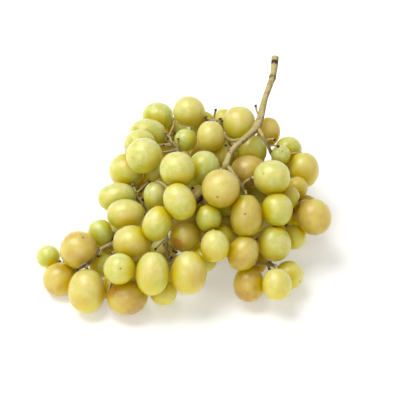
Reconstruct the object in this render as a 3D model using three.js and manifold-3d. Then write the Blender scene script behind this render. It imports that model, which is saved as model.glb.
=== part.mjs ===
// A bunch of white table grapes, picked and laid down on its side.
//
// Millimetres, +Z up, resting on z = 0. The main stem is one piece. Each side branch carries a
// spray of berries on short stalks, and each spray is one fused piece that ends just clear of the
// main stem. Berries are drawn in flat where they press on a neighbour or a stem, and cut flat
// where they rest, as ripe grapes are.

import * as THREE from 'three';
import { mergeVertices } from 'three/addons/utils/BufferGeometryUtils.js';
import Module from 'manifold-3d';

const wasm = await Module();
wasm.setup();

// Driving dimensions
const CLEARANCE = 0.3; // left between pieces that would touch
const SINK = 1.0; // how far a resting berry is flattened by its weight
const SQUEEZE = 0.8; // how far two neighbouring berries settle into one another
const STALK = { root: 0.75, middle: 0.7, end: 1.1 }; // radii of a berry's stalk
const STALK_REACH = 7; // usual bare length of a stalk
const STALK_LIMIT = 18; // longest bare length of a hidden berry's stalk
const BRANCH = { root: 1.2, end: 0.95 }; // radii of a side branch
const HIDDEN = { count: 38, smallest: 7.8, spread: 2.6, cover: 1.15, seed: 42, tries: 60000 };
const OPENING = { across: 39.6, up: 30, radius: 2 }; // where the surface shows through the bunch

// Facets: few on the berries, because there are many
const BERRY_FACETS = { sides: 8, bands: 6 };
const HIDDEN_FACETS = { sides: 7, bands: 5 };
const SHARP_BEND = 1.4; // radians
const FINEST_EDGE = 0.02; // slivers finer than this are smoothed away
const FACET_GAIN = 1.03; // keeps a faceted berry as bulky as a round one

// The bunch is laid out as it is seen: across, up and near, in millimetres from the aim point
const TILT = THREE.MathUtils.degToRad(45);
const EYE_DISTANCE = 900;
const AIM = new THREE.Vector3(9.6, -7.9, 30);
const ACROSS = new THREE.Vector3(1, 0, 0);
const UP = new THREE.Vector3(0, Math.sin(TILT), Math.cos(TILT));
const NEAR = new THREE.Vector3(0, -Math.cos(TILT), Math.sin(TILT));

// The main stem, from its cut end to its tip: across, up, near, radius
const MAIN_STEM = [
  [45, 85.5, -36, 2.4],
  [43.8, 75, -30, 2],
  [39, 61, -21, 1.9],
  [34.2, 44, -7, 2.5],
  [26.5, 36.5, 3, 1.9],
  [18.8, 29, 11, 1.8],
  [15.8, 21.5, 17, 2.1],
  [12, 13, 8, 1.6],
  [2, 2, 6, 1.6],
  [-10, -6, 10, 1.5],
  [-22, -13, 10, 1.4],
  [-36, -20, 5, 1.3],
  [-50, -25, 8, 1.35],
  [-60, -30, 18, 1.25],
];

// Each spray: the main stem's point that it grows from, the rest of its branch's route, and its
// berries. A berry is across, up, near, width, length and, where its long axis shows, the lean of
// that axis from up towards across, in degrees. The others point away from their branch.
const SPRAYS = {
  tip: {
    colour: 0xdcc16e,
    from: 13,
    route: [[-68, -39, 17], [-77, -41, 11]],
    berries: [
      [-91, -34, 8, 14.3, 14.3],
      [-73, -30, 22, 22.4, 22.4],
      [-84, -47.5, 16, 20, 20.5],
      [-68, -54.5, 30, 22, 26, 0],
    ],
  },
  tail: {
    colour: 0xd3bf6c,
    from: 12,
    route: [[-48, -33, 14], [-50, -42, 22]],
    berries: [
      [-59, -39, 12, 15, 15],
      [-47, -42, 40, 18.5, 18.5],
      [-41, -26, 27, 21.5, 22.5, 90],
      [-44, -58, 31, 20.5, 24, 80],
      [-52, -53, 20, 15, 15],
    ],
  },
  tail_back: {
    colour: 0xbcbf58,
    from: 12,
    route: [[-52, -20, 3], [-54, -20, 0]],
    berries: [
      [-60, -20, 8, 15, 17, 0],
      [-55, -30, 0, 12, 12],
    ],
  },
  front_left: {
    colour: 0xd2c672,
    from: 10,
    route: [[-20, -22, 16], [-20, -31, 22], [-18, -38, 22]],
    berries: [
      [-28, -44, 40, 19.5, 25.5, 4],
      [-22, -55, 30, 16, 16],
      [-8.5, -43.5, 40, 21, 25.5, 5],
      [2, -35.5, 25, 16, 16],
      [-9, -22, 25, 18, 18.5],
      [-22, -30, 4, 16, 16],
    ],
  },
  front: {
    colour: 0xc9c268,
    from: 8,
    route: [[6, -8, 12], [5, -17, 15], [2, -24, 18]],
    berries: [
      [9, -27.5, 38, 17, 19, 0],
      [12.5, -21.5, 28, 14.5, 14.5],
      [5.5, -11.5, 30, 15, 16.5, 0],
      [-1, 1, -10, 16, 16],
      [17, -13, 8, 14, 14],
    ],
  },
  middle: {
    colour: 0xccce78,
    from: 9,
    route: [[-9, 2, 18], [-13, 7, 20], [-18, 6, 22]],
    berries: [
      [-13, -1.5, 35, 18.5, 22.5, -25],
      [-25, -13.5, 34, 17, 21.5, 25],
      [-13.5, 18, 28, 21, 21.5],
      [-27, 3, 10, 14, 16, 0],
    ],
  },
  left: {
    colour: 0xc9cd74,
    from: 11,
    route: [[-33, -10, -4], [-36, -2, -8], [-38, 4, -8]],
    berries: [
      [-44.5, -8.5, 13, 18, 23, 90],
      [-49.5, 1.5, -5, 18, 24, 85],
      [-41.5, 18, -20, 21.5, 22.5],
      [-35, 8, -24, 16, 16],
      [-28, 15, -22, 17, 17],
      [-33, -5, -22, 16, 16],
    ],
  },
  back_left: {
    colour: 0xc3cc70,
    from: 7,
    route: [[0, 20, -6], [-10, 27, -10], [-17, 33, -16], [-19, 38, -28]],
    berries: [
      [-33.5, 27, 0, 21.5, 22],
      [-35.5, 32, -20, 20, 20],
      [-31, 39, -25, 19, 23, 90],
      [-24, 47, -36, 19, 20, 90],
      [-17, 42, -38, 18, 18],
      [-22, 32, -36, 17, 17],
    ],
  },
  back: {
    colour: 0xcfcb6e,
    from: 4,
    route: [[18, 36, -10], [12, 42, -18], [8, 49, -22]],
    berries: [
      [-6.5, 53, -24, 19.3, 20, -70],
      [-8.5, 36, -14, 14, 14],
      [6.5, 38, -5, 17, 19, 0],
      [23.5, 45.5, -18, 20.5, 22, 0],
      [14.5, 47.5, -30, 15, 15],
      [13, 27, -10, 15, 15],
      [21.5, 25, -22, 15, 15],
    ],
  },
  top: {
    colour: 0xd6c774,
    from: 6,
    route: [[17, 15, 12], [18, 10, 10]],
    berries: [
      [2.5, 19, 14, 19, 21, 0],
      [12.5, 7, 34, 22.5, 23],
      [29, 17, 2, 20, 22, 90],
    ],
  },
  back_right: {
    colour: 0xd2c46c,
    from: 3,
    route: [[38, 38, 0], [41, 32, -6], [45, 24, -16], [50, 18, -22]],
    berries: [
      [31, 29.5, -14, 18, 20, 0],
      [41, 41, -24, 15, 18, 0],
      [53, 30.5, -20, 16, 17],
      [48.5, 27, -6, 12, 12],
      [62, 17.5, -8, 19, 22, 0],
      [59, 6.5, -4, 13, 13],
    ],
  },
  right: {
    colour: 0xd8c270,
    from: 6,
    route: [[20, 16, 20], [25, 9, 18], [27.5, 4, 14], [36, -4, 8], [48, -9, 6]],
    berries: [
      [28, -9.5, 30, 19, 25.5, 0],
      [43, 13.5, 22, 21, 22, 90],
      [46, -6, 26, 18.5, 20, 0],
      [52, 1, 12, 16, 16],
      [68, -10, 8, 21, 22, -10],
      [62, -5, 0, 18, 18],
      [56.5, -22, 10, 15, 15],
      [54, -14, -8, 15, 15],
      [44.5, -26, 24, 20, 21.5, 0],
    ],
  },
  front_right: {
    colour: 0xd7bb68,
    from: 7,
    route: [[20, -8, 2], [26, -20, 8], [34, -31, 8], [45, -40, 14]],
    berries: [
      [26, -32, 32, 18, 21.5, 25],
      [29.5, -50.5, 28, 18.5, 21, 0],
      [46, -50.5, 34, 17.5, 19, 0],
      [53.5, -45, 22, 17, 17],
      [34, -37, 16, 14, 14],
      [21, -22, -6, 15, 15],
    ],
  },
  under: { colour: 0xb9b85c, from: 8, route: [[8, 5, -6], [12, 0, -18]], berries: [] },
  under_left: { colour: 0xb9b85c, from: 10, route: [[-22, -12, -4], [-20, -8, -18]], berries: [] },
};

// Places

// The point seen at across and up, this much nearer to the eye than the aim point
function place(across, up, near) {
  const shrink = 1 - near / EYE_DISTANCE;
  return AIM.clone()
    .addScaledVector(ACROSS, across * shrink)
    .addScaledVector(UP, up * shrink)
    .addScaledVector(NEAR, near);
}

// Where a point is seen: the reverse of place
function seen(point) {
  const offset = point.clone().sub(AIM);
  const near = offset.dot(NEAR);
  const shrink = 1 - near / EYE_DISTANCE;
  return { across: offset.dot(ACROSS) / shrink, up: offset.dot(UP) / shrink, near, shrink };
}

// Random numbers from 0 to 1, the same ones every time
function draws(seed) {
  let state = seed;
  return () => {
    state = (state * 16807) % 2147483647;
    return state / 2147483647;
  };
}

// Stems

// A stem is a curve with a radius at each of its evenly numbered points
function stemAlong(curve, radii) {
  const radiusAt = (t) => {
    const place = Math.min(t * (radii.length - 1), radii.length - 1 - 1e-9);
    const before = Math.floor(place);
    return THREE.MathUtils.lerp(radii[before], radii[before + 1], place - before);
  };
  return { curve, radiusAt };
}

// The stem as a row of touching balls, for distances to it
function beadsOf(stem, owner) {
  const count = Math.ceil(stem.curve.getLength() / 1.5);
  return Array.from({ length: count + 1 }, (_, i) => ({
    centre: stem.curve.getPoint(i / count),
    radius: stem.radiusAt(i / count),
    owner,
  }));
}

// The stem's solid: a cylinder bent along the curve
function stemGeometry(stem, steps, sides, grow = 0) {
  const geometry = new THREE.CylinderGeometry(1, 1, 1, sides, steps);
  const side = new THREE.Vector3(0.3, 0.5, 0.8);
  const rings = Array.from({ length: steps + 1 }, (_, i) => {
    const tangent = stem.curve.getTangent(i / steps);
    side.projectOnPlane(tangent).normalize();
    const across = tangent.clone().cross(side);
    const centre = stem.curve.getPoint(i / steps);
    return { centre, side: side.clone(), across, radius: stem.radiusAt(i / steps) + grow };
  });
  const position = geometry.attributes.position;
  for (let i = 0; i < position.count; i += 1) {
    const ring = rings[Math.round((position.getY(i) + 0.5) * steps)];
    const point = ring.centre.clone()
      .addScaledVector(ring.across, position.getX(i) * ring.radius)
      .addScaledVector(ring.side, position.getZ(i) * ring.radius);
    position.setXYZ(i, point.x, point.y, point.z);
  }
  return geometry;
}

// A stalk: two straight lengths, or more of them where it bends sharply
function stalkGeometry(stalk) {
  const bend = stalk.curve.getTangent(0).angleTo(stalk.curve.getTangent(1));
  return stemGeometry(stalk, bend > SHARP_BEND ? 3 : 2, 4);
}

// Berries

// A berry's reach from its centre in a direction
function reachOf(berry, direction) {
  const along = direction.dot(berry.axis);
  const across = Math.sqrt(Math.max(0, 1 - along * along));
  return Math.hypot(along * berry.length, across * berry.width) / 2;
}

// Pushes berries apart until they only press on one another. They move along the line of sight,
// so the bunch still looks the same, and stay above the surface.
function settle(berries) {
  const eye = AIM.clone().addScaledVector(NEAR, EYE_DISTANCE);
  for (let round = 0; round < 240; round += 1) {
    const pushes = berries.map((berry) => {
      const push = new THREE.Vector3();
      for (const other of berries) {
        const away = berry.centre.clone().sub(other.centre);
        const over = berry.radius + other.radius - SQUEEZE - away.length();
        if (other !== berry && over > 0) push.addScaledVector(away.normalize(), over / 2);
      }
      return push;
    });
    berries.forEach((berry, i) => {
      const sight = eye.clone().sub(berry.centre).normalize();
      const along = sight.clone().multiplyScalar(pushes[i].dot(sight));
      const rest = pushes[i].clone().sub(along);
      berry.centre.addScaledVector(along.addScaledVector(rest, 0.12), 0.4);
      const lift = Math.max(0, berry.radius - SINK - berry.centre.z);
      berry.centre.addScaledVector(sight, (0.5 * lift) / sight.z);
    });
  }
}

// Hangs a berry on its branch: picks the branch's point that gives the stalk its usual length,
// points the berry away from it, and runs the stalk from there into the berry's stem end
function hang(berry, branch) {
  const wanted = berry.length / 2 + STALK_REACH;
  const misfit = (bead) => Math.abs(bead.centre.distanceTo(berry.centre) - wanted);
  const usable = branch.beads.slice(3);
  const anchor = usable.reduce((best, bead) => (misfit(bead) < misfit(best) ? bead : best)).centre;
  const outward = berry.centre.clone().sub(anchor).normalize();
  berry.axis = outward;
  if (berry.lean !== undefined) {
    const angle = THREE.MathUtils.degToRad(berry.lean);
    const axis = UP.clone().multiplyScalar(Math.cos(angle)).addScaledVector(ACROSS, Math.sin(angle));
    berry.axis = axis.multiplyScalar(axis.dot(outward) < 0 ? -1 : 1);
  }
  const approach = berry.centre.clone().addScaledVector(berry.axis, -(berry.length / 2 + 4));
  const end = berry.centre.clone().addScaledVector(berry.axis, -0.3 * berry.length);
  const curve = new THREE.QuadraticBezierCurve3(anchor, approach, end);
  berry.stalk = stemAlong(curve, [STALK.root, STALK.middle, STALK.end]);
  berry.stalkBeads = beadsOf(berry.stalk, berry);
  berry.branch = branch;
}

// True if a ball there would show past the berries in front of it
function shows(centre, radius, front) {
  const spot = seen(centre);
  const toOpening = Math.hypot(spot.across - OPENING.across, spot.up - OPENING.up);
  if (toOpening < radius + OPENING.radius) return true;
  return Array.from({ length: 8 }, (_, i) => (i * Math.PI) / 4).some((angle) => {
    const across = spot.across + radius * Math.cos(angle);
    const up = spot.up + radius * Math.sin(angle);
    return !front.some(({ seen: disc, radius: cover }) => disc.near > spot.near + 4
      && Math.hypot(disc.across - across, disc.up - up) < (HIDDEN.cover * cover) / disc.shrink);
  });
}

// True if a straight stalk from a point to a ball runs clear of all the other balls
function clearWay(from, centre, radius, others) {
  const way = new THREE.Line3(from, centre);
  const nearest = new THREE.Vector3();
  return others.every((ball) => {
    way.closestPointToPoint(ball.centre, true, nearest);
    return nearest.distanceTo(centre) < radius
      || nearest.distanceTo(ball.centre) > ball.radius + STALK.root;
  });
}

// Adds the berries that the front hides: each touches one that is already there, rests on the
// surface if it is close to it, crosses no stem, and has a clear way for its stalk
function addHidden(berries, branches, mainStem) {
  const draw = draws(HIDDEN.seed);
  const front = berries.map((berry) => ({ radius: berry.radius, seen: seen(berry.centre) }));
  const wood = [...beadsOf(mainStem), ...branches.flatMap((branch) => branch.beads)];
  const stalks = berries.flatMap((berry) => berry.stalkBeads);
  const wanted = berries.length + HIDDEN.count;
  for (let tries = 0; tries < HIDDEN.tries && berries.length < wanted; tries += 1) {
    const host = berries[Math.floor(draw() * berries.length)];
    const radius = HIDDEN.smallest + HIDDEN.spread * draw();
    const turn = 2 * Math.PI * draw();
    const height = 2 * draw() - 1;
    const flat = Math.sqrt(1 - height * height);
    const direction = new THREE.Vector3(flat * Math.cos(turn), flat * Math.sin(turn), height);
    const centre = host.centre.clone().addScaledVector(direction, host.radius + radius - 0.5);
    if (centre.z < radius - 5) continue;
    if (centre.z < radius + 5) centre.z = radius - SINK;
    const gap = (ball) => ball.centre.distanceTo(centre) - ball.radius - radius;
    if (berries.some((berry) => gap(berry) < -1.5)) continue;
    if (wood.some((bead) => gap(bead) < 0.5) || stalks.some((bead) => gap(bead) < 0.3)) continue;
    if (shows(centre, radius, front)) continue;
    const hold = branches
      .map((branch) => ({ branch, gap: Math.min(...branch.beads.slice(3).map(gap)) }))
      .reduce((best, next) => (next.gap < best.gap ? next : best));
    if (hold.gap > STALK_LIMIT) continue;
    const berry = { centre, radius, width: 1.96 * radius, length: 2.08 * radius, hidden: true };
    hang(berry, hold.branch);
    const from = berry.stalkBeads[0].centre;
    const foreign = [...wood, ...stalks].filter((bead) => bead.owner !== hold.branch
      && bead.owner?.branch !== hold.branch);
    if (!clearWay(from, centre, radius, [...berries, ...foreign])) continue;
    berries.push(berry);
    stalks.push(...berry.stalkBeads);
  }
}

// The flats on a berry: one towards each neighbour or stem that it presses on, halfway through
// the overlap for a neighbour, and at the stem's surface for a stem
function flatsOf(berry, berries, beads) {
  const flats = [];
  for (const other of berries) {
    if (other === berry) continue;
    const towards = other.centre.clone().sub(berry.centre);
    const distance = towards.length();
    towards.normalize();
    const reach = reachOf(berry, towards);
    const over = reach + reachOf(other, towards) + CLEARANCE - distance;
    if (over > 0) flats.push({ towards, depth: reach - over / 2 });
  }
  for (const bead of beads) {
    if (bead.owner === berry) continue;
    const towards = bead.centre.clone().sub(berry.centre);
    const depth = towards.length() - bead.radius - CLEARANCE;
    towards.normalize();
    if (depth < reachOf(berry, towards)) flats.push({ towards, depth });
  }
  return flats;
}

// A berry: a ball stretched along its axis, each point drawn in along its radius to the nearest
// flat
function berryGeometry(berry, flats) {
  const { sides, bands } = berry.hidden ? HIDDEN_FACETS : BERRY_FACETS;
  const geometry = new THREE.SphereGeometry(1, sides, bands);
  geometry.scale(berry.width / 2, berry.length / 2, berry.width / 2);
  const turn = new THREE.Quaternion().setFromUnitVectors(new THREE.Vector3(0, 1, 0), berry.axis);
  geometry.applyQuaternion(turn);
  const position = geometry.attributes.position;
  const point = new THREE.Vector3();
  for (let i = 0; i < position.count; i += 1) {
    point.fromBufferAttribute(position, i);
    const share = Math.min(1, ...flats.map(({ towards, depth }) => {
      const out = point.dot(towards);
      return out > depth ? depth / out : 1;
    }));
    point.multiplyScalar(share).add(berry.centre);
    position.setXYZ(i, point.x, point.y, point.z);
  }
  return geometry;
}

// Solids

function solidOf(geometry) {
  geometry.deleteAttribute('normal');
  geometry.deleteAttribute('uv');
  const merged = mergeVertices(geometry, 1e-4);
  return new wasm.Manifold(new wasm.Mesh({
    numProp: 3,
    vertProperties: merged.attributes.position.array,
    triVerts: new Uint32Array(merged.index.array),
  }));
}

function meshOf(name, solid, colour, roughness) {
  const { vertProperties, triVerts } = solid.getMesh();
  const geometry = new THREE.BufferGeometry();
  geometry.setAttribute('position', new THREE.BufferAttribute(vertProperties, 3));
  geometry.setIndex(new THREE.BufferAttribute(triVerts, 1));
  geometry.computeVertexNormals();
  const material = new THREE.MeshStandardMaterial({ color: colour, roughness, metalness: 0 });
  const mesh = new THREE.Mesh(geometry, material);
  mesh.name = name;
  return mesh;
}

// The parts

const mainCurve = new THREE.CatmullRomCurve3(MAIN_STEM.map(([a, u, n]) => place(a, u, n)));
const mainStem = stemAlong(mainCurve, MAIN_STEM.map((row) => row[3]));

const branches = Object.entries(SPRAYS).map(([name, { colour, from, route }]) => {
  const points = [MAIN_STEM[from].slice(0, 3), ...route].map((point) => place(...point));
  const stem = stemAlong(new THREE.CatmullRomCurve3(points), [BRANCH.root, BRANCH.end]);
  const branch = { name, colour, stem };
  branch.beads = beadsOf(stem, branch);
  return branch;
});

const berries = Object.values(SPRAYS).flatMap((spray, i) => spray.berries.map((row) => {
  const [across, up, near, width, length, lean] = row;
  const centre = place(across, up, near);
  return { centre, width, length, lean, radius: (2 * width + length) / 6, branch: branches[i] };
}));
settle(berries);
berries.forEach((berry) => hang(berry, berry.branch));
addHidden(berries, branches, mainStem);
for (const berry of berries) {
  berry.width *= FACET_GAIN;
  berry.length *= FACET_GAIN;
}

const wood = [
  ...beadsOf(mainStem),
  ...branches.flatMap((branch) => branch.beads),
  ...berries.flatMap((berry) => berry.stalkBeads),
];
const surface = solidOf(new THREE.BoxGeometry(400, 400, 40).translate(0, 0, -20));
const stemRoom = solidOf(stemGeometry(mainStem, 34, 7, CLEARANCE));

// One spray: its branch, stalks and berries joined, cut flat on the surface and clear of the
// main stem
function sprayMesh(branch) {
  const own = berries.filter((berry) => berry.branch === branch);
  const pieces = [
    stemGeometry(branch.stem, 7, 6),
    ...own.map((berry) => stalkGeometry(berry.stalk)),
    ...own.map((berry) => berryGeometry(berry, flatsOf(berry, berries, wood))),
  ];
  const joined = pieces.map(solidOf).reduce((whole, piece) => whole.add(piece));
  const bodies = joined.subtract(surface).subtract(stemRoom).decompose();
  const largest = bodies.reduce((best, body) => (body.volume() > best.volume() ? body : best));
  return meshOf(`spray_${branch.name}`, largest.simplify(FINEST_EDGE), branch.colour, 0.35);
}

const bunch = new THREE.Group();
bunch.add(meshOf('main_stem', solidOf(stemGeometry(mainStem, 34, 7)), 0xc8b878, 0.7));
branches.forEach((branch) => bunch.add(sprayMesh(branch)));

export default bunch;
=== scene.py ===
"""A bunch of white table grapes, dressed for close view.

The layout is the one that the solids were built from: the same stems, the same berries and the
same rule for the hidden ones, in millimetres. Here each berry is a smooth, slightly uneven form
with a hollow round its stalk and a scar at its far end, its skin is translucent, with painted light
on its upper side and painted shade between berries, and the stems have swellings, collars, brown
marks, painted shade and bare ends.
"""

import math

import bpy
import numpy as np
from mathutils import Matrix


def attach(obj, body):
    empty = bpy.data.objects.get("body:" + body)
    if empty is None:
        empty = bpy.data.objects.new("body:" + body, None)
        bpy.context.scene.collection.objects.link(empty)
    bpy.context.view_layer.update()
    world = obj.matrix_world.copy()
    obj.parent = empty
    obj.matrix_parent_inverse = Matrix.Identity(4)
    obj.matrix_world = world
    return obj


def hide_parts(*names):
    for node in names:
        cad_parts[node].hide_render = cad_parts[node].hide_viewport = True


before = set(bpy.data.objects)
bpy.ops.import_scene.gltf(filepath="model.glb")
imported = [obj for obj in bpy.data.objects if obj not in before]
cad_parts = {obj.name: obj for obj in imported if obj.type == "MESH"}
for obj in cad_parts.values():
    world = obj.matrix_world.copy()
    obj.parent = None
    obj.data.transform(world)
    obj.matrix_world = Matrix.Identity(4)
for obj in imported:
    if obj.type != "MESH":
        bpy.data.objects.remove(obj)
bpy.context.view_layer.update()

# Driving dimensions, in millimetres
MM = 0.001
SINK = 1.0  # how far a resting berry is flattened by its weight
SQUEEZE = 0.8  # how far two neighbouring berries settle into one another
GAP = 0.1  # left between berries that press on one another
STALK = (0.75, 0.7, 1.1)  # radii of a berry's stalk, from its branch to the berry
STALK_REACH = 7  # usual bare length of a stalk
STALK_LIMIT = 18  # longest bare length of a hidden berry's stalk
STALK_APPROACH = 4  # how far outside the berry its stalk turns to the berry's axis
STALK_END = 0.3  # where the stalk ends inside the berry, from its centre, of its length
BRANCH = (1.2, 0.95)  # radii of a side branch
BARE_END = (0.7, 0.55, 0.7)  # radii of a bare stalk end
BEAD_SPACING = 1.5  # of the row of balls that stands for a stem in distances to it
ROOT_BEADS = 3  # beads at a branch's root that carry no berry

# Settling: each round moves the berries by a share of their overlap, mostly along the line of sight
SETTLE_ROUNDS = 240
SETTLE_STEP = 0.4
SETTLE_SIDEWAYS = 0.12
SETTLE_LIFT = 0.5

# The hidden berries, in millimetres
HIDDEN_COUNT = 38
HIDDEN_SMALLEST = 7.8  # radius
HIDDEN_SPREAD = 2.6
HIDDEN_WIDTH = 1.96  # of its radius
HIDDEN_LENGTH = 2.08
HIDDEN_SEED = 42
HIDDEN_TRIES = 60000
HIDDEN_COVER = 1.15  # how much a berry in front counts as hiding, against its real size
HIDDEN_BEHIND = 4  # how much nearer to the eye that berry has to be
HIDDEN_TOUCH = 0.5  # how far it settles into the berry that it touches
HIDDEN_OVERLAP = 1.5  # most that it may overlap any berry
HIDDEN_DROP = 5  # from how far above or below its rest it is set down on the surface
WOOD_ROOM = 0.5  # least gap to a branch or the main stem
STALK_ROOM = 0.3  # least gap to another berry's stalk
RIM_POINTS = 8  # points of its rim that must all be hidden
OPENING = (39.6, 30, 2)  # across, up and radius of the spot where the surface shows through

# The bunch is laid out as it is seen: across, up and near, in millimetres from the aim point
TILT = math.radians(45)
EYE_DISTANCE = 900
AIM = np.array([9.6, -7.9, 30])
ACROSS = np.array([1, 0, 0])
UP = np.array([0, math.sin(TILT), math.cos(TILT)])
NEAR = np.array([0, -math.cos(TILT), math.sin(TILT)])
FRAME_WIDTH = 240  # width of the picture at the aim point
SENSOR = 36

# The main stem, from its cut end to its tip: across, up, near, radius
MAIN_STEM = [
    (45, 85.5, -36, 2.4),
    (43.8, 75, -30, 2),
    (39, 61, -21, 1.9),
    (34.2, 44, -7, 2.5),
    (26.5, 36.5, 3, 1.9),
    (18.8, 29, 11, 1.8),
    (15.8, 21.5, 17, 2.1),
    (12, 13, 8, 1.6),
    (2, 2, 6, 1.6),
    (-10, -6, 10, 1.5),
    (-22, -13, 10, 1.4),
    (-36, -20, 5, 1.3),
    (-50, -25, 8, 1.35),
    (-60, -30, 18, 1.25),
]

# Each spray: the main stem's point that it grows from, the rest of its branch's route, and its
# berries. A berry is across, up, near, width, length, ripeness from green to amber and, where its
# long axis shows, the lean of that axis from up towards across, in degrees.
SPRAYS = {
    "tip": (13, [(-68, -39, 17), (-77, -41, 11)], [
        (-91, -34, 8, 14.3, 14.3, 0.05),
        (-73, -30, 22, 22.4, 22.4, 0.75),
        (-84, -47.5, 16, 20, 20.5, 0.8),
        (-68, -54.5, 30, 22, 26, 0.6, 0),
    ]),
    "tail": (12, [(-48, -33, 14), (-50, -42, 22)], [
        (-59, -39, 12, 15, 15, 0.2),
        (-47, -42, 40, 18.5, 18.5, 0.35),
        (-41, -26, 27, 21.5, 22.5, 0.5, 90),
        (-44, -58, 31, 20.5, 24, 0.78, 80),
        (-52, -53, 20, 15, 15, 1.0),
    ]),
    "tail_back": (12, [(-52, -20, 3), (-54, -20, 0)], [
        (-60, -20, 8, 15, 17, 0.1, 0),
        (-55, -30, 0, 12, 12, 0.7),
    ]),
    "front_left": (10, [(-20, -22, 16), (-20, -31, 22), (-18, -38, 22)], [
        (-28, -44, 40, 19.5, 25.5, 0.35, 4),
        (-22, -55, 30, 16, 16, 0.4),
        (-8.5, -43.5, 40, 21, 25.5, 0.5, 5),
        (2, -35.5, 25, 16, 16, 0.15),
        (-9, -22, 25, 18, 18.5, 0.75),
        (-22, -30, 4, 16, 16, 0.3),
    ]),
    "front": (8, [(6, -8, 12), (5, -17, 15), (2, -24, 18)], [
        (9, -27.5, 38, 17, 19, 0.4, 0),
        (12.5, -21.5, 28, 14.5, 14.5, 0.45),
        (5.5, -11.5, 30, 15, 16.5, 0.1, 0),
        (-1, 1, -10, 16, 16, 0.9),
        (17, -13, 8, 14, 14, 0.6),
    ]),
    "middle": (9, [(-9, 2, 18), (-13, 7, 20), (-18, 6, 22)], [
        (-13, -1.5, 35, 18.5, 22.5, 0.35, -25),
        (-25, -13.5, 34, 17, 21.5, 0.35, 25),
        (-13.5, 18, 28, 21, 21.5, 0.25),
        (-27, 3, 10, 14, 16, 0.2, 0),
    ]),
    "left": (11, [(-33, -10, -4), (-36, -2, -8), (-38, 4, -8)], [
        (-44.5, -8.5, 13, 18, 23, 0.35, 90),
        (-49.5, 1.5, -5, 18, 24, 0.2, 85),
        (-41.5, 18, -20, 21.5, 22.5, 0.3),
        (-35, 8, -24, 16, 16, 0.2),
        (-28, 15, -22, 17, 17, 0.3),
        (-33, -5, -22, 16, 16, 0.4),
    ]),
    "back_left": (7, [(0, 20, -6), (-10, 27, -10), (-17, 33, -16), (-19, 38, -28)], [
        (-33.5, 27, 0, 21.5, 22, 0.2),
        (-35.5, 32, -20, 20, 20, 0.1),
        (-31, 39, -25, 19, 23, 0.1, 90),
        (-24, 47, -36, 19, 20, 0.1, 90),
        (-17, 42, -38, 18, 18, 0.1),
        (-22, 32, -36, 17, 17, 0.3),
    ]),
    "back": (4, [(18, 36, -10), (12, 42, -18), (8, 49, -22)], [
        (-6.5, 53, -24, 19.3, 20, 0.3, -70),
        (-8.5, 36, -14, 14, 14, 0.1),
        (6.5, 38, -5, 17, 19, 0.5, 0),
        (23.5, 45.5, -18, 20.5, 22, 0.45, 0),
        (14.5, 47.5, -30, 15, 15, 0.4),
        (13, 27, -10, 15, 15, 0.6),
        (21.5, 25, -22, 15, 15, 0.4),
    ]),
    "top": (6, [(17, 15, 12), (18, 10, 10)], [
        (2.5, 19, 14, 19, 21, 0.05, 0),
        (12.5, 7, 34, 22.5, 23, 0.62),
        (29, 17, 2, 20, 22, 0.85, 90),
    ]),
    "back_right": (3, [(38, 38, 0), (41, 32, -6), (45, 24, -16), (50, 18, -22)], [
        (31, 29.5, -14, 18, 20, 0.35, 0),
        (41, 41, -24, 15, 18, 0.7, 0),
        (53, 30.5, -20, 16, 17, 0.15),
        (48.5, 27, -6, 12, 12, 0.0),
        (62, 17.5, -8, 19, 22, 0.5, 0),
        (59, 6.5, -4, 13, 13, 0.8),
    ]),
    "right": (6, [(20, 16, 20), (25, 9, 18), (27.5, 4, 14), (36, -4, 8), (48, -9, 6)], [
        (28, -9.5, 30, 19, 25.5, 0.76, 0),
        (43, 13.5, 22, 21, 22, 0.3, 90),
        (46, -6, 26, 18.5, 20, 0.3, 0),
        (52, 1, 12, 16, 16, 0.55),
        (68, -10, 8, 21, 22, 0.72, -10),
        (62, -5, 0, 18, 18, 0.9),
        (56.5, -22, 10, 15, 15, 0.35),
        (54, -14, -8, 15, 15, 0.4),
        (44.5, -26, 24, 20, 21.5, 0.4, 0),
    ]),
    "front_right": (7, [(20, -8, 2), (26, -20, 8), (34, -31, 8), (45, -40, 14)], [
        (26, -32, 32, 18, 21.5, 0.75, 25),
        (29.5, -50.5, 28, 18.5, 21, 0.85, 0),
        (46, -50.5, 34, 17.5, 19, 0.35, 0),
        (53.5, -45, 22, 17, 17, 0.45),
        (34, -37, 16, 14, 14, 0.85),
        (21, -22, -6, 15, 15, 0.4),
    ]),
    "under": (8, [(8, 5, -6), (12, 0, -18)], []),
    "under_left": (10, [(-22, -12, -4), (-20, -8, -18)], []),
}

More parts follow.
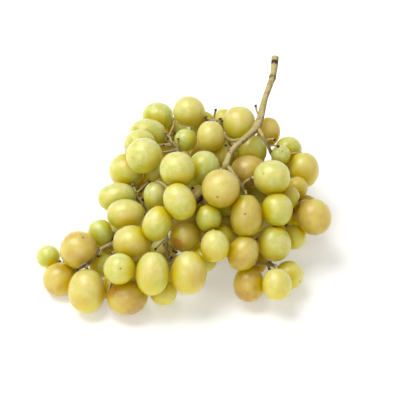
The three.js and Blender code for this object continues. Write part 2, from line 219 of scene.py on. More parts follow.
# Bare stalk ends, where a berry was lost or never grew: each bends from its start past its middle
# to its end, each given as across, up and near
BARE_ENDS = {
    "main_stem": [
        ((36.2, 51, -12), (33.8, 51.5, -12), (33.4, 57, -13)),
        ((18.2, 28, 11.5), (15.8, 30, 14), (15.4, 33.2, 15)),
        ((-58, -29, 16), (-60, -31, 20), (-61, -34, 22)),
    ],
    "tip": [((-77, -41, 11), (-80, -38, 12), (-82, -36.5, 12))],
    "front_left": [
        ((-20, -23, 16), (-24, -26, 20), (-27, -30, 20)),
        ((-20, -27, 19), (-16, -28, 22), (-14, -32, 22)),
        ((-20, -31, 22), (-23, -33, 24), (-25, -37, 24)),
    ],
    "middle": [((-9.5, 3, 18), (-6, 5, 20), (-4, 7.5, 21))],
    "left": [
        ((-36, -2, -8), (-34.5, 2, -4), (-33, 6.5, -2)),
        ((-35, -5, -6), (-33.5, -2, -3), (-34.5, 0.5, -1)),
    ],
    "back_left": [
        ((-15, 31.5, -13), (-18, 34, -9), (-19.5, 37, -8)),
        ((-12, 29, -11), (-14, 33, -7), (-13, 37, -7)),
        ((-16.5, 32.5, -14), (-20, 31.5, -10), (-22, 33, -9)),
    ],
    "back": [
        ((8, 49, -22), (9, 52, -20), (9.5, 54.5, -19)),
        ((9, 47.5, -20), (12, 49, -17), (13.5, 47, -16)),
        ((11, 43.5, -18), (13, 46, -15), (12, 49, -14)),
    ],
    "back_right": [
        ((39.5, 35.5, -2), (43, 37.5, 2), (45, 36, 4)),
        ((41, 32, -6), (44.5, 33.5, -2), (47, 32, 2)),
    ],
    "right": [((57, 1, 6), (58.5, 0.5, 10), (59.4, 0, 13))],
    "front_right": [
        ((38, -34, 10), (41, -34, 14), (43, -36.5, 16)),
        ((41, -37, 12), (40, -39, 17), (42, -42, 18)),
    ],
}

# Small dark spots on the skins, and broad russet patches: across, up, near, radius and strength
SPOTS = [
    (27, -8.4, 40, 0.6, 0.85),
    (38, 16, 30.8, 0.5, 0.6),
]
PATCHES = [
    (-13.5, -26, 31, 4.5, 0.7),
    (-52, -55, 38, 4.5, 0.6),
    (-84, -53, 25.5, 2.2, 0.25),
]


# Places

def place(across, up, near):
    """The point seen at across and up, this much nearer to the eye than the aim point."""
    shrink = 1 - near / EYE_DISTANCE
    return AIM + across * shrink * ACROSS + up * shrink * UP + near * NEAR


def seen(points):
    """Where points are seen: across, up, near and how much smaller the distance makes them."""
    offset = np.asarray(points) - AIM
    near = offset @ NEAR
    shrink = 1 - near / EYE_DISTANCE
    return offset @ ACROSS / shrink, offset @ UP / shrink, near, shrink


def unit(vector):
    return vector / np.linalg.norm(vector)


def draws(seed):
    """Random numbers from 0 to 1, the same ones every time."""
    state = seed
    while True:
        state = state * 16807 % 2147483647
        yield state / 2147483647


# Stems

class Stem:
    """A curve with evenly spread radii, also kept as a row of balls; owner is its berry, if any."""

    def __init__(self, curve, radii, owner=None):
        self.curve = curve
        self.radii = radii
        self.owner = owner
        steps = curve(np.linspace(0, 1, 201))
        self.length = np.linalg.norm(np.diff(steps, axis=0), axis=1).sum()
        count = math.ceil(self.length / BEAD_SPACING)
        self.beads = curve(np.linspace(0, 1, count + 1))
        self.bead_radii = self.radius(np.linspace(0, 1, count + 1))

    def radius(self, t):
        return np.interp(t, np.linspace(0, 1, len(self.radii)), self.radii)


def smooth_curve(points):
    """A centripetal Catmull-Rom curve through the points."""
    points = np.asarray(points, float)
    last = len(points) - 1
    ends = 2 * points[:1] - points[1:2], 2 * points[-1:] - points[-2:-1]
    padded = np.concatenate([ends[0], points, ends[1]])

    def curve(t):
        spot = np.atleast_1d(t) * last
        index = np.minimum(np.floor(spot).astype(int), last - 1)
        weight = (spot - index)[:, None]
        p0, p1, p2, p3 = (padded[index + k] for k in range(4))
        gap0, gap1, gap2 = (
            np.sqrt(np.linalg.norm(b - a, axis=1))[:, None]
            for a, b in ((p0, p1), (p1, p2), (p2, p3))
        )
        leave = ((p1 - p0) / gap0 - (p2 - p0) / (gap0 + gap1) + (p2 - p1) / gap1) * gap1
        arrive = ((p2 - p1) / gap1 - (p3 - p1) / (gap1 + gap2) + (p3 - p2) / gap2) * gap1
        square = -3 * p1 + 3 * p2 - 2 * leave - arrive
        cube = 2 * p1 - 2 * p2 + leave + arrive
        return p1 + leave * weight + square * weight**2 + cube * weight**3

    return curve


def bend_curve(start, middle, end):
    """A quadratic curve from start to end, heading for middle."""

    def curve(t):
        t = np.atleast_1d(t)[:, None]
        return (1 - t) ** 2 * start + 2 * (1 - t) * t * middle + t**2 * end

    return curve


# Berries

class Berry:
    def __init__(self, centre, width, length, ripeness, lean, branch, radius=None):
        self.centre = centre
        self.width = width
        self.length = length
        self.ripeness = ripeness
        self.lean = lean
        self.branch = branch
        self.radius = (2 * width + length) / 6 if radius is None else radius


def reach_of(berry, directions):
    """The berry's reach from its centre in each direction."""
    along = directions @ berry.axis
    across = np.sqrt(np.clip(1 - along**2, 0, None))
    return np.hypot(along * berry.length, across * berry.width) / 2


def settle(berries):
    """Pushes berries apart along the line of sight until they only press on one another."""
    eye = AIM + EYE_DISTANCE * NEAR
    centres = np.array([berry.centre for berry in berries])
    radii = np.array([berry.radius for berry in berries])
    room = radii[:, None] + radii[None, :] - SQUEEZE
    np.fill_diagonal(room, 0)
    for _ in range(SETTLE_ROUNDS):
        away = centres[:, None] - centres[None, :]
        distance = np.linalg.norm(away, axis=2)
        np.fill_diagonal(distance, 1)
        over = np.clip(room - distance, 0, None)
        np.fill_diagonal(over, 0)
        push = (away / distance[..., None] * (over / 2)[..., None]).sum(1)
        sight = eye - centres
        sight /= np.linalg.norm(sight, axis=1, keepdims=True)
        along = (push * sight).sum(1, keepdims=True) * sight
        centres = centres + SETTLE_STEP * (along + SETTLE_SIDEWAYS * (push - along))
        lift = np.clip(radii - SINK - centres[:, 2], 0, None)
        centres = centres + (SETTLE_LIFT * lift / sight[:, 2])[:, None] * sight
    for berry, centre in zip(berries, centres):
        berry.centre = centre


def hang(berry, branch):
    """Hangs a berry on its branch, its axis away from it, by a stalk of the usual length."""
    wanted = berry.length / 2 + STALK_REACH
    usable = branch.beads[ROOT_BEADS:]
    misfit = np.abs(np.linalg.norm(usable - berry.centre, axis=1) - wanted)
    anchor = usable[misfit.argmin()]
    outward = unit(berry.centre - anchor)
    berry.axis = outward
    if berry.lean is not None:
        angle = math.radians(berry.lean)
        axis = math.cos(angle) * UP + math.sin(angle) * ACROSS
        berry.axis = -axis if axis @ outward < 0 else axis
    approach = berry.centre - (berry.length / 2 + STALK_APPROACH) * berry.axis
    end = berry.centre - STALK_END * berry.length * berry.axis
    berry.stalk = Stem(bend_curve(anchor, approach, end), STALK, berry)
    berry.branch = branch


def shows(centre, radius, front):
    """True if a ball there would show past the berries in front of it."""
    across, up, near, _ = seen(centre)
    if math.hypot(across - OPENING[0], up - OPENING[1]) < radius + OPENING[2]:
        return True
    disc_across, disc_up, disc_near, disc_shrink, disc_radius = front
    cover = HIDDEN_COVER * disc_radius / disc_shrink
    for step in range(RIM_POINTS):
        angle = step * 2 * math.pi / RIM_POINTS
        rim_across = across + radius * math.cos(angle)
        rim_up = up + radius * math.sin(angle)
        hidden = np.hypot(disc_across - rim_across, disc_up - rim_up) < cover
        if not (hidden & (disc_near > near + HIDDEN_BEHIND)).any():
            return True
    return False


def clear_way(start, centre, radius, balls, ball_radii):
    """True if a straight stalk from start to a ball runs clear of all the other balls."""
    way = centre - start
    share = np.clip((balls - start) @ way / (way @ way), 0, 1)
    nearest = start + share[:, None] * way
    inside = np.linalg.norm(nearest - centre, axis=1) < radius
    clear = np.linalg.norm(nearest - balls, axis=1) > ball_radii + STALK[0]
    return bool((inside | clear).all())


def add_hidden(berries, branches, main_stem):
    """Adds the berries that the front hides, each touching one that is already there."""
    draw = draws(HIDDEN_SEED)
    front = (*seen([berry.centre for berry in berries]), np.array([b.radius for b in berries]))
    wood = [main_stem, *branches]
    stalks = [berry.stalk for berry in berries]
    wanted = len(berries) + HIDDEN_COUNT
    for _ in range(HIDDEN_TRIES):
        if len(berries) >= wanted:
            return
        host = berries[int(next(draw) * len(berries))]
        radius = HIDDEN_SMALLEST + HIDDEN_SPREAD * next(draw)
        turn = 2 * math.pi * next(draw)
        height = 2 * next(draw) - 1
        flat = math.sqrt(1 - height * height)
        direction = np.array([flat * math.cos(turn), flat * math.sin(turn), height])
        centre = host.centre + direction * (host.radius + radius - HIDDEN_TOUCH)
        if centre[2] < radius - HIDDEN_DROP:
            continue
        if centre[2] < radius + HIDDEN_DROP:
            centre[2] = radius - SINK
        centres = np.array([berry.centre for berry in berries])
        radii = np.array([berry.radius for berry in berries])
        gaps = np.linalg.norm(centres - centre, axis=1) - radii - radius
        if (gaps < -HIDDEN_OVERLAP).any():
            continue

        def gap(stem, first=0):
            distance = np.linalg.norm(stem.beads[first:] - centre, axis=1)
            return (distance - stem.bead_radii[first:]).min() - radius

        if any(gap(stem) < WOOD_ROOM for stem in wood):
            continue
        if any(gap(stalk) < STALK_ROOM for stalk in stalks):
            continue
        if shows(centre, radius, front):
            continue
        gaps = [gap(branch, ROOT_BEADS) for branch in branches]
        branch = branches[int(np.argmin(gaps))]
        if min(gaps) > STALK_LIMIT:
            continue
        berry = Berry(centre, HIDDEN_WIDTH * radius, HIDDEN_LENGTH * radius,
                      hidden_ripeness(centre), None, branch, radius)
        hang(berry, branch)
        foreign = [stem for stem in wood if stem is not branch]
        foreign += [stalk for stalk in stalks if stalk.owner.branch is not branch]
        balls = np.concatenate([centres, *(stem.beads for stem in foreign)])
        ball_radii = np.concatenate([radii, *(stem.bead_radii for stem in foreign)])
        if clear_way(berry.stalk.beads[0], centre, radius, balls, ball_radii):
            berries.append(berry)
            stalks.append(berry.stalk)


def hidden_ripeness(centre):
    """A hidden berry's ripeness, from green to amber, which drifts over the bunch."""
    return 0.38 + 0.2 * math.sin(0.11 * centre[0] + 0.2 * centre[1])


def flats_of(berry, berries, stems):
    """The flats on a berry: one towards each neighbour, stem or surface that it presses on."""
    others = [other for other in berries if other is not berry]
    centres = np.array([other.centre for other in others])
    towards = centres - berry.centre
    distance = np.linalg.norm(towards, axis=1)
    towards /= distance[:, None]
    reach = reach_of(berry, towards)
    theirs = np.array([reach_of(other, way[None])[0] for other, way in zip(others, towards)])
    over = reach + theirs + GAP - distance
    pressed = over > 0
    flats = [(way, depth) for way, depth in zip(towards[pressed], (reach - over / 2)[pressed])]
    beads = np.concatenate([stem.beads for stem in stems if stem.owner is not berry])
    radii = np.concatenate([stem.bead_radii for stem in stems if stem.owner is not berry])
    towards = beads - berry.centre
    distance = np.linalg.norm(towards, axis=1)
    towards /= distance[:, None]
    depth = distance - radii - GAP
    pressed = depth < reach_of(berry, towards)
    flats += [(way, deep) for way, deep in zip(towards[pressed], depth[pressed])]
    down = np.array([0, 0, -1.0])
    if reach_of(berry, down[None])[0] > berry.centre[2]:
        flats.append((down, berry.centre[2]))
    return flats


# The bunch

main_curve = smooth_curve([place(*row[:3]) for row in MAIN_STEM])
main_stem = Stem(main_curve, [row[3] for row in MAIN_STEM])
branches = []
berries = []
for from_point, route, rows in SPRAYS.values():
    points = [MAIN_STEM[from_point][:3], *route]
    branch = Stem(smooth_curve([place(*point) for point in points]), BRANCH)
    branches.append(branch)
    for across, up, near, width, length, ripeness, *lean in rows:
        centre = place(across, up, near)
        berries.append(Berry(centre, width, length, ripeness, lean[0] if lean else None, branch))
settle(berries)
for berry in berries:
    hang(berry, berry.branch)
add_hidden(berries, branches, main_stem)


# Meshes

def mesh_object(name, points, faces, attributes):
    """A smooth mesh object from points in millimetres, with one value of each attribute a point."""
    mesh = bpy.data.meshes.new(name)
    mesh.from_pydata((np.asarray(points) * MM).tolist(), [], faces)
    mesh.polygons.foreach_set("use_smooth", [True] * len(mesh.polygons))
    for attribute, values in attributes.items():
        values = np.asarray(values, dtype=np.float32)
        kind, key = ("FLOAT", "value") if values.ndim == 1 else ("FLOAT_VECTOR", "vector")
        mesh.attributes.new(attribute, kind, "POINT").data.foreach_set(key, values.ravel())
    made = bpy.data.objects.new(name, mesh)
    bpy.context.collection.objects.link(made)
    return made


class Parts:
    """Points, faces and attributes of the parts of one mesh, added one after the other."""

    def __init__(self):
        self.points = []
        self.faces = []
        self.attributes = {}
        self.count = 0

    def add(self, points, faces, **attributes):
        self.faces += [tuple(index + self.count for index in face) for face in faces]
        self.points.append(points)
        self.count += len(points)
        for name, values in attributes.items():
            self.attributes.setdefault(name, []).append(values)

    def object(self, name):
        attributes = {key: np.concatenate(parts) for key, parts in self.attributes.items()}
        return mesh_object(name, np.concatenate(self.points), self.faces, attributes)


def ring_faces(rings, sides):
    """Faces over rings of points, with a single point at each end."""
    last = 1 + rings * sides
    faces = []
    for side in range(sides):
        after = (side + 1) % sides
        faces.append((0, 1 + after, 1 + side))
        base = 1 + (rings - 1) * sides
        faces.append((base + side, base + after, last))
        for ring in range(rings - 1):
            low = 1 + ring * sides
            faces.append((low + side, low + after, low + sides + after, low + sides + side))
    return faces


ODD_WAY = np.array([0.3, 0.5, 0.8])  # a direction that no berry and no stem lies along
FORM_SEED = 100  # each berry and stem adds its own number to these
SKIN_SEED = 500
STEM_SEED = 900
BERRY_SIDES = 48
BERRY_RINGS = 33
CROWDING = 0.12  # how much closer together the rings are near a berry's ends
UNEVEN = 0.006  # size of each of the waves over a berry, of its radius
SOFTNESS = 40  # how sharply a berry turns into its flats
DIMPLE = (0.6, 0.24)  # depth and angle, in radians, of the hollow round the stalk
SCAR = (0.15, 0.06)  # rise and angle of the scar
SCAR_HOLLOW = (0.25, 0.2)  # depth and angle of the hollow round the scar
ROOM_LIMIT = 10  # millimetres of room round a berry beyond which it counts as open


def side_frame(axis):
    """Two directions square to an axis and to each other."""
    first = unit(np.cross(axis, ODD_WAY))
    return first, np.cross(axis, first)


def berry_form(berry, number, flats):
    """A berry's points, from its scar to its stem end, and each one's two angles on it."""
    rng = np.random.default_rng(FORM_SEED + number)
    polar = np.linspace(0, math.pi, BERRY_RINGS + 2)
    polar = polar - CROWDING * np.sin(2 * polar)
    turn = np.arange(BERRY_SIDES) * 2 * math.pi / BERRY_SIDES
    first, second = side_frame(berry.axis)
    angles = [(polar[0], 0.0)]
    angles += [(p, t) for p in polar[1:-1] for t in turn]
    angles.append((polar[-1], 0.0))
    angles = np.array(angles)
    p, t = angles[:, 0], angles[:, 1]
    fullness = 1 + 0.025 * np.cos(p) + 0.012 * np.cos(2 * p)
    uneven = np.zeros(len(p))
    for waves in (1, 2, 2, 3):
        phase, tilt = rng.uniform(0, 2 * math.pi, 2)
        uneven += UNEVEN * np.sin(waves * t + phase) * np.sin(p) ** waves * np.cos(p * waves + tilt)
    along = np.cos(p) * berry.length / 2
    along += DIMPLE[0] * np.exp(-((math.pi - p) / DIMPLE[1]) ** 2)
    along += SCAR[0] * np.exp(-(p / SCAR[1]) ** 2)
    along -= SCAR_HOLLOW[0] * np.exp(-(p / SCAR_HOLLOW[1]) ** 2)
    out = np.sin(p) * berry.width / 2 * fullness
    local = (
        along[:, None] * berry.axis
        + (out * np.cos(t))[:, None] * first
        + (out * np.sin(t))[:, None] * second
    ) * (1 + uneven)[:, None]
    share = np.ones(len(local))
    for towards, depth in flats:
        reached = np.clip(local @ towards, 1e-6, None)
        share += (reached / depth) ** SOFTNESS
    local *= (share ** (-1 / SOFTNESS))[:, None]
    return local, p, t


def room_round(points, berry, berries):
    """How far each point of a berry's skin is from the nearest other berry, up to a limit."""
    others = [other for other in berries if other is not berry]
    centres = np.array([other.centre for other in others])
    radii = np.array([other.radius for other in others])
    reach = radii + berry.length / 2 + ROOM_LIMIT
    close = np.linalg.norm(centres - berry.centre, axis=1) < reach
    away = np.linalg.norm(points[:, None] - centres[None, close], axis=2) - radii[close]
    return np.clip(away.min(1, initial=ROOM_LIMIT), 0, ROOM_LIMIT)


def add_berry(parts, berry, number, berries, stems):
    """A berry's points, with what its skin is coloured by."""
    local, p, t = berry_form(berry, number, flats_of(berry, berries, stems))
    rng = np.random.default_rng(SKIN_SEED + number)
    seed = rng.uniform(0, 1)
    on_ball = np.column_stack([np.sin(p) * np.cos(t), np.sin(p) * np.sin(t), np.cos(p)])
    parts.add(
        local + berry.centre,
        ring_faces(BERRY_RINGS, BERRY_SIDES),
        ripeness=np.full(len(p), berry.ripeness + rng.normal(0, 0.05)),
        seed=np.full(len(p), seed),
        polar=p,
        on_ball=on_ball * berry.radius / 10 + seed * 50,
        facing_up=local[:, 2] / np.linalg.norm(local, axis=1),
        room=room_round(local + berry.centre, berry, berries),
    )


PAINTED_SHADE_SIDE = unit(ACROSS + 0.25 * NEAR)  # the side on which the stems get painted shade, away from the key light
END_DOME = 0.12  # how far a stem's ends stand out, of its radius

# Steps along each kind of stem, and sides round it
MAIN_STEM_MESH = (220, 20)
BRANCH_MESH = (30, 12)
STALK_MESH = (22, 10)
BARE_END_MESH = (16, 10)


def add_stem(parts, stem, mesh, swell=(), brown=(), lumps=0.05, number=0):
    """A stem's points: rings along its curve, with swellings, brown marks and painted shade at
    places on it.

    A swelling or a mark is its place from 0 to 1, its half width in millimetres and its strength.
    """
    steps, sides = mesh
    rng = np.random.default_rng(STEM_SEED + number)
    t = np.linspace(0, 1, steps + 1)
    centres = stem.curve(t)
    tangents = np.gradient(centres, axis=0)
    tangents /= np.linalg.norm(tangents, axis=1, keepdims=True)
    radii = stem.radius(t)
    stain = np.zeros(steps + 1)
    for spot, width, gain in swell:
        radii = radii * (1 + gain * np.exp(-(((t - spot) * stem.length) / width) ** 2))
    for spot, width, amount in brown:
        stain = np.maximum(stain, amount * np.exp(-(((t - spot) * stem.length) / width) ** 2))
    side = ODD_WAY
    turn = np.arange(sides) * 2 * math.pi / sides
    ridges = rng.uniform(0, 2 * math.pi, 2)
    points = [centres[0] - tangents[0] * radii[0] * END_DOME]
    shade_side_facing = []
    for centre, tangent, radius, share in zip(centres, tangents, radii, t):
        side = unit(side - (side @ tangent) * tangent)
        across = np.cross(tangent, side)
        wave = np.sin(2 * turn + ridges[0]) + 0.6 * np.sin(3 * turn + ridges[1] + 9 * share)
        size = radius * (1 + lumps * wave)
        outward = np.outer(np.cos(turn), across) + np.outer(np.sin(turn), side)
        points += list(centre + size[:, None] * outward)
        # how far each point faces the side that gets painted shade
        shade_side_facing += list(outward @ PAINTED_SHADE_SIDE)
    points.append(centres[-1] + tangents[-1] * radii[-1] * END_DOME)
    stain = np.concatenate([[stain[0]], np.repeat(stain, sides), [stain[-1]]])
    place_along = np.concatenate([[0], np.repeat(t, sides), [1]]) * stem.length
    shade_side_facing = np.concatenate([[0], shade_side_facing, [0]])
    parts.add(np.array(points), ring_faces(steps + 1, sides), stain=stain, along=place_along,
              streak=shade_side_facing)


def add_bare_ends(parts, name):
    """The bare stalk ends of one piece, each dark and knobbly where its berry was."""
    for number, route in enumerate(BARE_ENDS.get(name, [])):
        stem = Stem(bend_curve(*(place(*point) for point in route)), BARE_END)
        add_stem(parts, stem, BARE_END_MESH, swell=[(0.0, 0.8, 0.4), (1.0, 0.7, 0.3)],
                 brown=[(1.0, 1.5, 0.8), (0.0, 0.8, 0.4)], lumps=0.16, number=40 + number)


# Materials

def srgb(red, green, blue):
    """A colour as a shader takes it, from its usual 0 to 255 values."""

    def linear(value):
        value /= 255
        return value / 12.92 if value <= 0.04045 else ((value + 0.055) / 1.055) ** 2.4

    return (linear(red), linear(green), linear(blue), 1)


class Shader:
    """Short forms for building one material's nodes."""

    def __init__(self, name):
        self.material = bpy.data.materials.new(name)
        self.material.use_nodes = True
        self.tree = self.material.node_tree
        self.surface = self.tree.nodes["Principled BSDF"]

    def node(self, kind, inputs=None, **settings):
        made = self.tree.nodes.new(kind)
        for key, value in settings.items():
            setattr(made, key, value)
        for key, value in (inputs or {}).items():
            self.give(made.inputs[key], value)
        return made

    def give(self, socket, value):
        if isinstance(value, bpy.types.NodeSocket):
            self.tree.links.new(value, socket)
        else:
            socket.default_value = value

    def attribute(self, name, output="Fac"):
        return self.node("ShaderNodeAttribute", attribute_name=name).outputs[output]

    def maths(self, operation, first, second=0.0, clamp=False):
        made = self.node("ShaderNodeMath", {0: first, 1: second}, operation=operation)
        made.use_clamp = clamp
        return made.outputs[0]

    def noise(self, vector, scale, detail=3.0, rough=0.5):
        inputs = {"Vector": vector, "Scale": scale, "Detail": detail, "Roughness": rough}
        return self.node("ShaderNodeTexNoise", inputs).outputs["Fac"]

    def spread(self, value, low, high, to_low=0.0, to_high=1.0):
        """Maps low to high onto to_low to to_high, with soft ends."""
        inputs = {"Value": value, "From Min": low, "From Max": high, "To Min": to_low,
                  "To Max": to_high}
        return self.node("ShaderNodeMapRange", inputs, interpolation_type="SMOOTHSTEP").outputs[0]

    def ramp(self, value, stops):
        made = self.node("ShaderNodeValToRGB", {"Fac": value})
        elements = made.color_ramp.elements
        while len(elements) < len(stops):
            elements.new(0.5)
        for element, (position, colour) in zip(elements, stops):
            element.position = position
            element.color = colour
        return made.outputs["Color"]

    def blend(self, share, first, second, mode="MIX"):
        made = self.node("ShaderNodeMix", data_type="RGBA", blend_type=mode)
        for index, value in ((0, share), (6, first), (7, second)):
            self.give(made.inputs[index], value)
        return made.outputs[2]

    def bump(self, height, distance, strength=1.0):
        inputs = {"Height": height, "Distance": distance, "Strength": strength}
        return self.node("ShaderNodeBump", inputs).outputs["Normal"]

    def finish(self, inputs):
        for key, value in inputs.items():
            self.give(self.surface.inputs[key], value)
        return self.material


def berry_skin():
    shader = Shader("berry_skin")
    spot = shader.attribute("on_ball", "Vector")
    polar = shader.attribute("polar")
    seed = shader.attribute("seed")
    broad = shader.noise(spot, 0.9, 2.0)
    patches = shader.noise(spot, 2.4, 4.0, 0.6)
    fine = shader.noise(spot, 9.0, 4.0, 0.65)
    speckle = shader.noise(spot, 30.0, 2.0)
    ripeness = shader.attribute("ripeness")
    ripeness = shader.maths("ADD", ripeness, shader.spread(broad, 0.3, 0.7, -0.17, 0.17))
    ripeness = shader.maths("ADD", ripeness, shader.spread(patches, 0.35, 0.7, -0.05, 0.09))
    # Flesh colour, from green to amber, with painted shade, a deeper yellow, in the pinches between
    # berries
    colour = shader.ramp(ripeness, [
        (0.0, srgb(172, 178, 2)),
        (0.3, srgb(204, 194, 4)),
        (0.55, srgb(204, 180, 4)),
        (0.8, srgb(188, 161, 4)),
        (1.0, srgb(164, 128, 2)),
    ])
    veins = shader.spread(shader.noise(spot, 5.0, 6.0, 0.7), 0.47, 0.53, 0.0, 1.0)
    colour = shader.blend(shader.maths("MULTIPLY", veins, 0.08), colour, srgb(200, 192, 100))
    room = shader.attribute("room")
    # painted shade: the skin turns deeper, darker yellow where other berries are near
    pressed = shader.spread(room, 5.0, 0.0, 0.0, 0.85)
    colour = shader.blend(pressed, colour, srgb(206, 180, 0))
    # Waxy bloom, with painted light where the skin faces up and painted shade where other berries
    # are near
    bloom_and_painted_light = shader.maths("ADD", shader.spread(patches, 0.35, 0.7, 0.26, 0.5),
                         shader.spread(fine, 0.4, 0.75, 0.0, 0.08))
    # painted shade: less pale bloom where other berries are near
    bloom_and_painted_light = shader.maths("MULTIPLY", bloom_and_painted_light, shader.spread(room, 1.0, 9.5))
    # painted light: more pale bloom on skin that faces up, less on skin that faces down
    bloom_and_painted_light = shader.maths("MULTIPLY", bloom_and_painted_light,
                         shader.spread(shader.attribute("facing_up"), -0.4, 0.95, 0.12, 1.5))
    colour = shader.blend(bloom_and_painted_light, colour, shader.ramp(ripeness, [
        (0.0, srgb(222, 228, 176)),
        (0.5, srgb(232, 222, 168)),
        (1.0, srgb(222, 192, 112)),
    ]))
    # Freckles, the browner ring at the stalk, the scar, and the marks
    freckles = shader.spread(speckle, 0.70, 0.78)
    colour = shader.blend(shader.maths("MULTIPLY", freckles, 0.3), colour, srgb(130, 96, 36))
    collar = shader.spread(polar, math.pi - 0.34, math.pi - 0.14)
    colour = shader.blend(shader.maths("MULTIPLY", collar, 0.5), colour, srgb(150, 140, 52))
    scar = shader.maths("MULTIPLY", shader.spread(polar, 0.075, 0.045),
                        shader.spread(seed, 0.2, 0.9, 0.2, 0.7))
    colour = shader.blend(scar, colour, srgb(96, 66, 30))
    where = shader.node("ShaderNodeTexCoord").outputs["Object"]
    ragged = shader.spread(fine, 0.3, 0.7, 0.7, 1.25)
    for marks, softness, stain in ((SPOTS, 0.4, srgb(112, 66, 14)),
                                   (PATCHES, 0.6, srgb(170, 98, 14))):
        for across, up, near, radius, strength in marks:
            centre = tuple(place(across, up, near) * MM)
            away = shader.node("ShaderNodeVectorMath", {0: where, 1: centre},
                               operation="DISTANCE").outputs["Value"]
            away = shader.maths("MULTIPLY", away, ragged)
            edge = 1.1 * radius * MM
            mark = shader.spread(away, edge, edge - softness * radius * MM, 0.0, strength)
            colour = shader.blend(mark, colour, stain)
    roughness = shader.spread(fine, 0.35, 0.75, 0.34, 0.5)
    return shader.finish({
        "Base Color": colour,
        "Roughness": roughness,
        "Normal": shader.bump(fine, 0.00012, 0.35),
        "Subsurface Weight": 1.0,
        "Subsurface Radius": (1.0, 0.85, 0.1),
        "Subsurface Scale": 0.024,
        "Coat Weight": 1.0,
        "Coat Roughness": 0.3,
        "IOR": 1.4,
        "Specular IOR Level": 0.2,
    })


def stem_bark():
    shader = Shader("stem_bark")
    spot = shader.node("ShaderNodeTexCoord").outputs["Object"]
    along = shader.attribute("along")
    broad = shader.noise(spot, 160.0, 3.0)
    fine = shader.noise(spot, 900.0, 4.0, 0.6)
    rings = shader.noise(shader.node("ShaderNodeCombineXYZ", {"X": along}).outputs[0], 0.5, 3.0)
    streak = shader.attribute("streak")
    lengthwise = {"X": shader.maths("MULTIPLY", along, 0.12), "Y": streak}
    fibres = shader.noise(shader.node("ShaderNodeCombineXYZ", lengthwise).outputs[0], 6.0, 3.0)
    colour = shader.ramp(broad, [
        (0.3, srgb(186, 176, 104)),
        (0.55, srgb(204, 188, 132)),
        (0.75, srgb(166, 140, 84)),
    ])
    colour = shader.blend(shader.spread(rings, 0.55, 0.75, 0.0, 0.5), colour,
                          srgb(146, 114, 62))
    colour = shader.blend(shader.spread(fibres, 0.45, 0.7, 0.0, 0.4), colour, srgb(146, 116, 66))
    # painted shade: darker on the stem's side away from the key light, patchy along it
    shade = shader.maths("MULTIPLY", shader.spread(streak, 0.5, 0.95),
                         shader.spread(rings, 0.35, 0.55))
    colour = shader.blend(shader.maths("MULTIPLY", shade, 0.7), colour, srgb(104, 74, 36))
    # the stain attribute carries brown marks and, on the main stem among the berries, a band of
    # painted shade
    stain = shader.maths("ADD", shader.attribute("stain"),
                         shader.spread(fine, 0.3, 0.7, -0.25, 0.25), clamp=True)
    colour = shader.blend(shader.spread(stain, 0.25, 0.7), colour, srgb(66, 42, 20))
    colour = shader.blend(shader.spread(fine, 0.6, 0.8, 0.0, 0.35), colour, srgb(100, 74, 36))
    height = shader.maths("ADD", fine, shader.maths("MULTIPLY", fibres, 0.8))
    return shader.finish({
        "Base Color": colour,
        "Roughness": shader.spread(fine, 0.3, 0.7, 0.5, 0.72),
        "Normal": shader.bump(height, 0.0003, 0.7),
        "Subsurface Weight": 0.15,
        "Subsurface Radius": (1.0, 0.8, 0.3),
        "Subsurface Scale": 0.0008,
        "IOR": 1.42,
    })


def plain_floor():
    shader = Shader("plain_floor")
    white = srgb(250, 250, 250)
    return shader.finish({"Base Color": white, "Roughness": 0.8, "IOR": 1.3,
                          "Emission Color": white, "Emission Strength": 0.29})


# The pieces

def finish_piece(piece, material, slot, *nodes):
    piece.data.materials.append(material)
    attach(piece, "root")
    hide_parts(*nodes)


skin = berry_skin()
bark = stem_bark()
stems = [main_stem, *branches, *(berry.stalk for berry in berries)]

# The main stem swells where its branches leave it, and at an old node near its cut end. It is brown
# at the cut end, at that node and beside some branches, and where it goes in among the berries it
# has a dark band of painted shade.
stem_parts = Parts()
spans = len(MAIN_STEM) - 1
forks = sorted({row[0] for row in SPRAYS.values()})
swellings = [(1 / spans + 0.01, 1.6, 0.2)] + [(fork / spans, 2.2, 0.14) for fork in forks]
stains_and_painted_shade = [(0.026, 1.9, 0.95), (1 / spans + 0.01, 1.7, 0.6), (3 / spans - 0.02, 2.5, 0.35)]
stains_and_painted_shade += [(fork / spans + 0.02, 1.5, 0.35) for fork in (4, 5, 6, 10, 12)]
# painted shade: a dark band where the main stem goes in among the berries
stains_and_painted_shade += [(8 / spans, 9, 0.85)]
add_stem(stem_parts, main_stem, MAIN_STEM_MESH, swell=swellings, brown=stains_and_painted_shade, lumps=0.07,
         number=1)
add_bare_ends(stem_parts, "main_stem")
finish_piece(stem_parts.object("main_stem_bark"), bark, "stem", "main_stem")

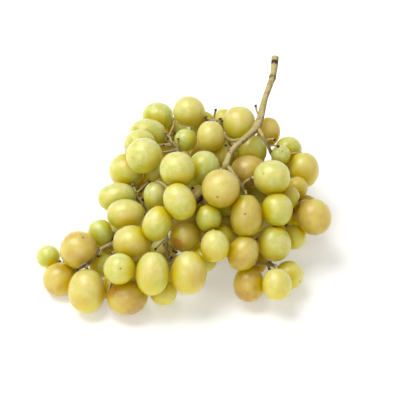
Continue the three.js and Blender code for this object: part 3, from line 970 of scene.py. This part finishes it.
for number, (name, branch) in enumerate(zip(SPRAYS, branches)):
    own = [berry for berry in berries if berry.branch is branch]
    twigs = Parts()
    add_stem(twigs, branch, BRANCH_MESH, brown=[(0.0, 1.2, 0.5)], number=number)
    for berry in own:
        collar = 1 - (0.5 - STALK_END) * berry.length / berry.stalk.length
        add_stem(twigs, berry.stalk, STALK_MESH, swell=[(0.0, 0.8, 0.5), (collar, 0.9, 0.55)],
                 brown=[(0.0, 0.8, 0.5), (collar - 0.03, 0.8, 0.75)],
                 number=berries.index(berry))
    add_bare_ends(twigs, name)
    finish_piece(twigs.object(f"twigs_{name}"), bark, "stem", f"spray_{name}")
    fruit = Parts()
    for berry in own:
        add_berry(fruit, berry, berries.index(berry), berries, stems)
    finish_piece(fruit.object(f"berries_{name}"), skin, "berries", f"spray_{name}")


# Floor, light and camera

FLOOR_REACH = 3000  # millimetres each way


def add_floor():
    signs = ((-1, -1), (1, -1), (1, 1), (-1, 1))
    corners = [(x * FLOOR_REACH, y * FLOOR_REACH, 0) for x, y in signs]
    floor = mesh_object("floor", corners, [(0, 1, 2, 3)], {})
    floor.data.materials.append(plain_floor())


def add_light(name, position, size, power):
    """A round area light turned to the floor's middle; metres and watts."""
    data = bpy.data.lights.new(name, "AREA")
    data.shape = "DISK"
    data.size = size
    data.energy = power
    light = bpy.data.objects.new(name, data)
    bpy.context.collection.objects.link(light)
    light.location = position
    aim = bpy.data.objects["floor"].location - light.location
    light.rotation_euler = aim.to_track_quat("-Z", "Y").to_euler()


def add_camera():
    data = bpy.data.cameras.new("camera")
    data.sensor_width = SENSOR
    data.lens = SENSOR * EYE_DISTANCE / FRAME_WIDTH
    camera = bpy.data.objects.new("camera", data)
    bpy.context.collection.objects.link(camera)
    camera.location = (AIM + EYE_DISTANCE * NEAR) * MM
    camera.rotation_euler = (math.pi / 2 - TILT, 0, 0)
    bpy.context.scene.camera = camera


def add_world():
    world = bpy.data.worlds.new("studio")
    world.use_nodes = True
    background = world.node_tree.nodes["Background"]
    background.inputs["Color"].default_value = (1, 1, 0.99, 1)
    background.inputs["Strength"].default_value = 0.44
    bpy.context.scene.world = world


add_floor()
add_light("key", (-0.38, 0.12, 1.0), 0.75, 8.1)
add_light("fill", (-0.3, -1.0, 0.8), 0.9, 2.4)
add_camera()
add_world()
bpy.context.scene.view_settings.view_transform = "Standard"
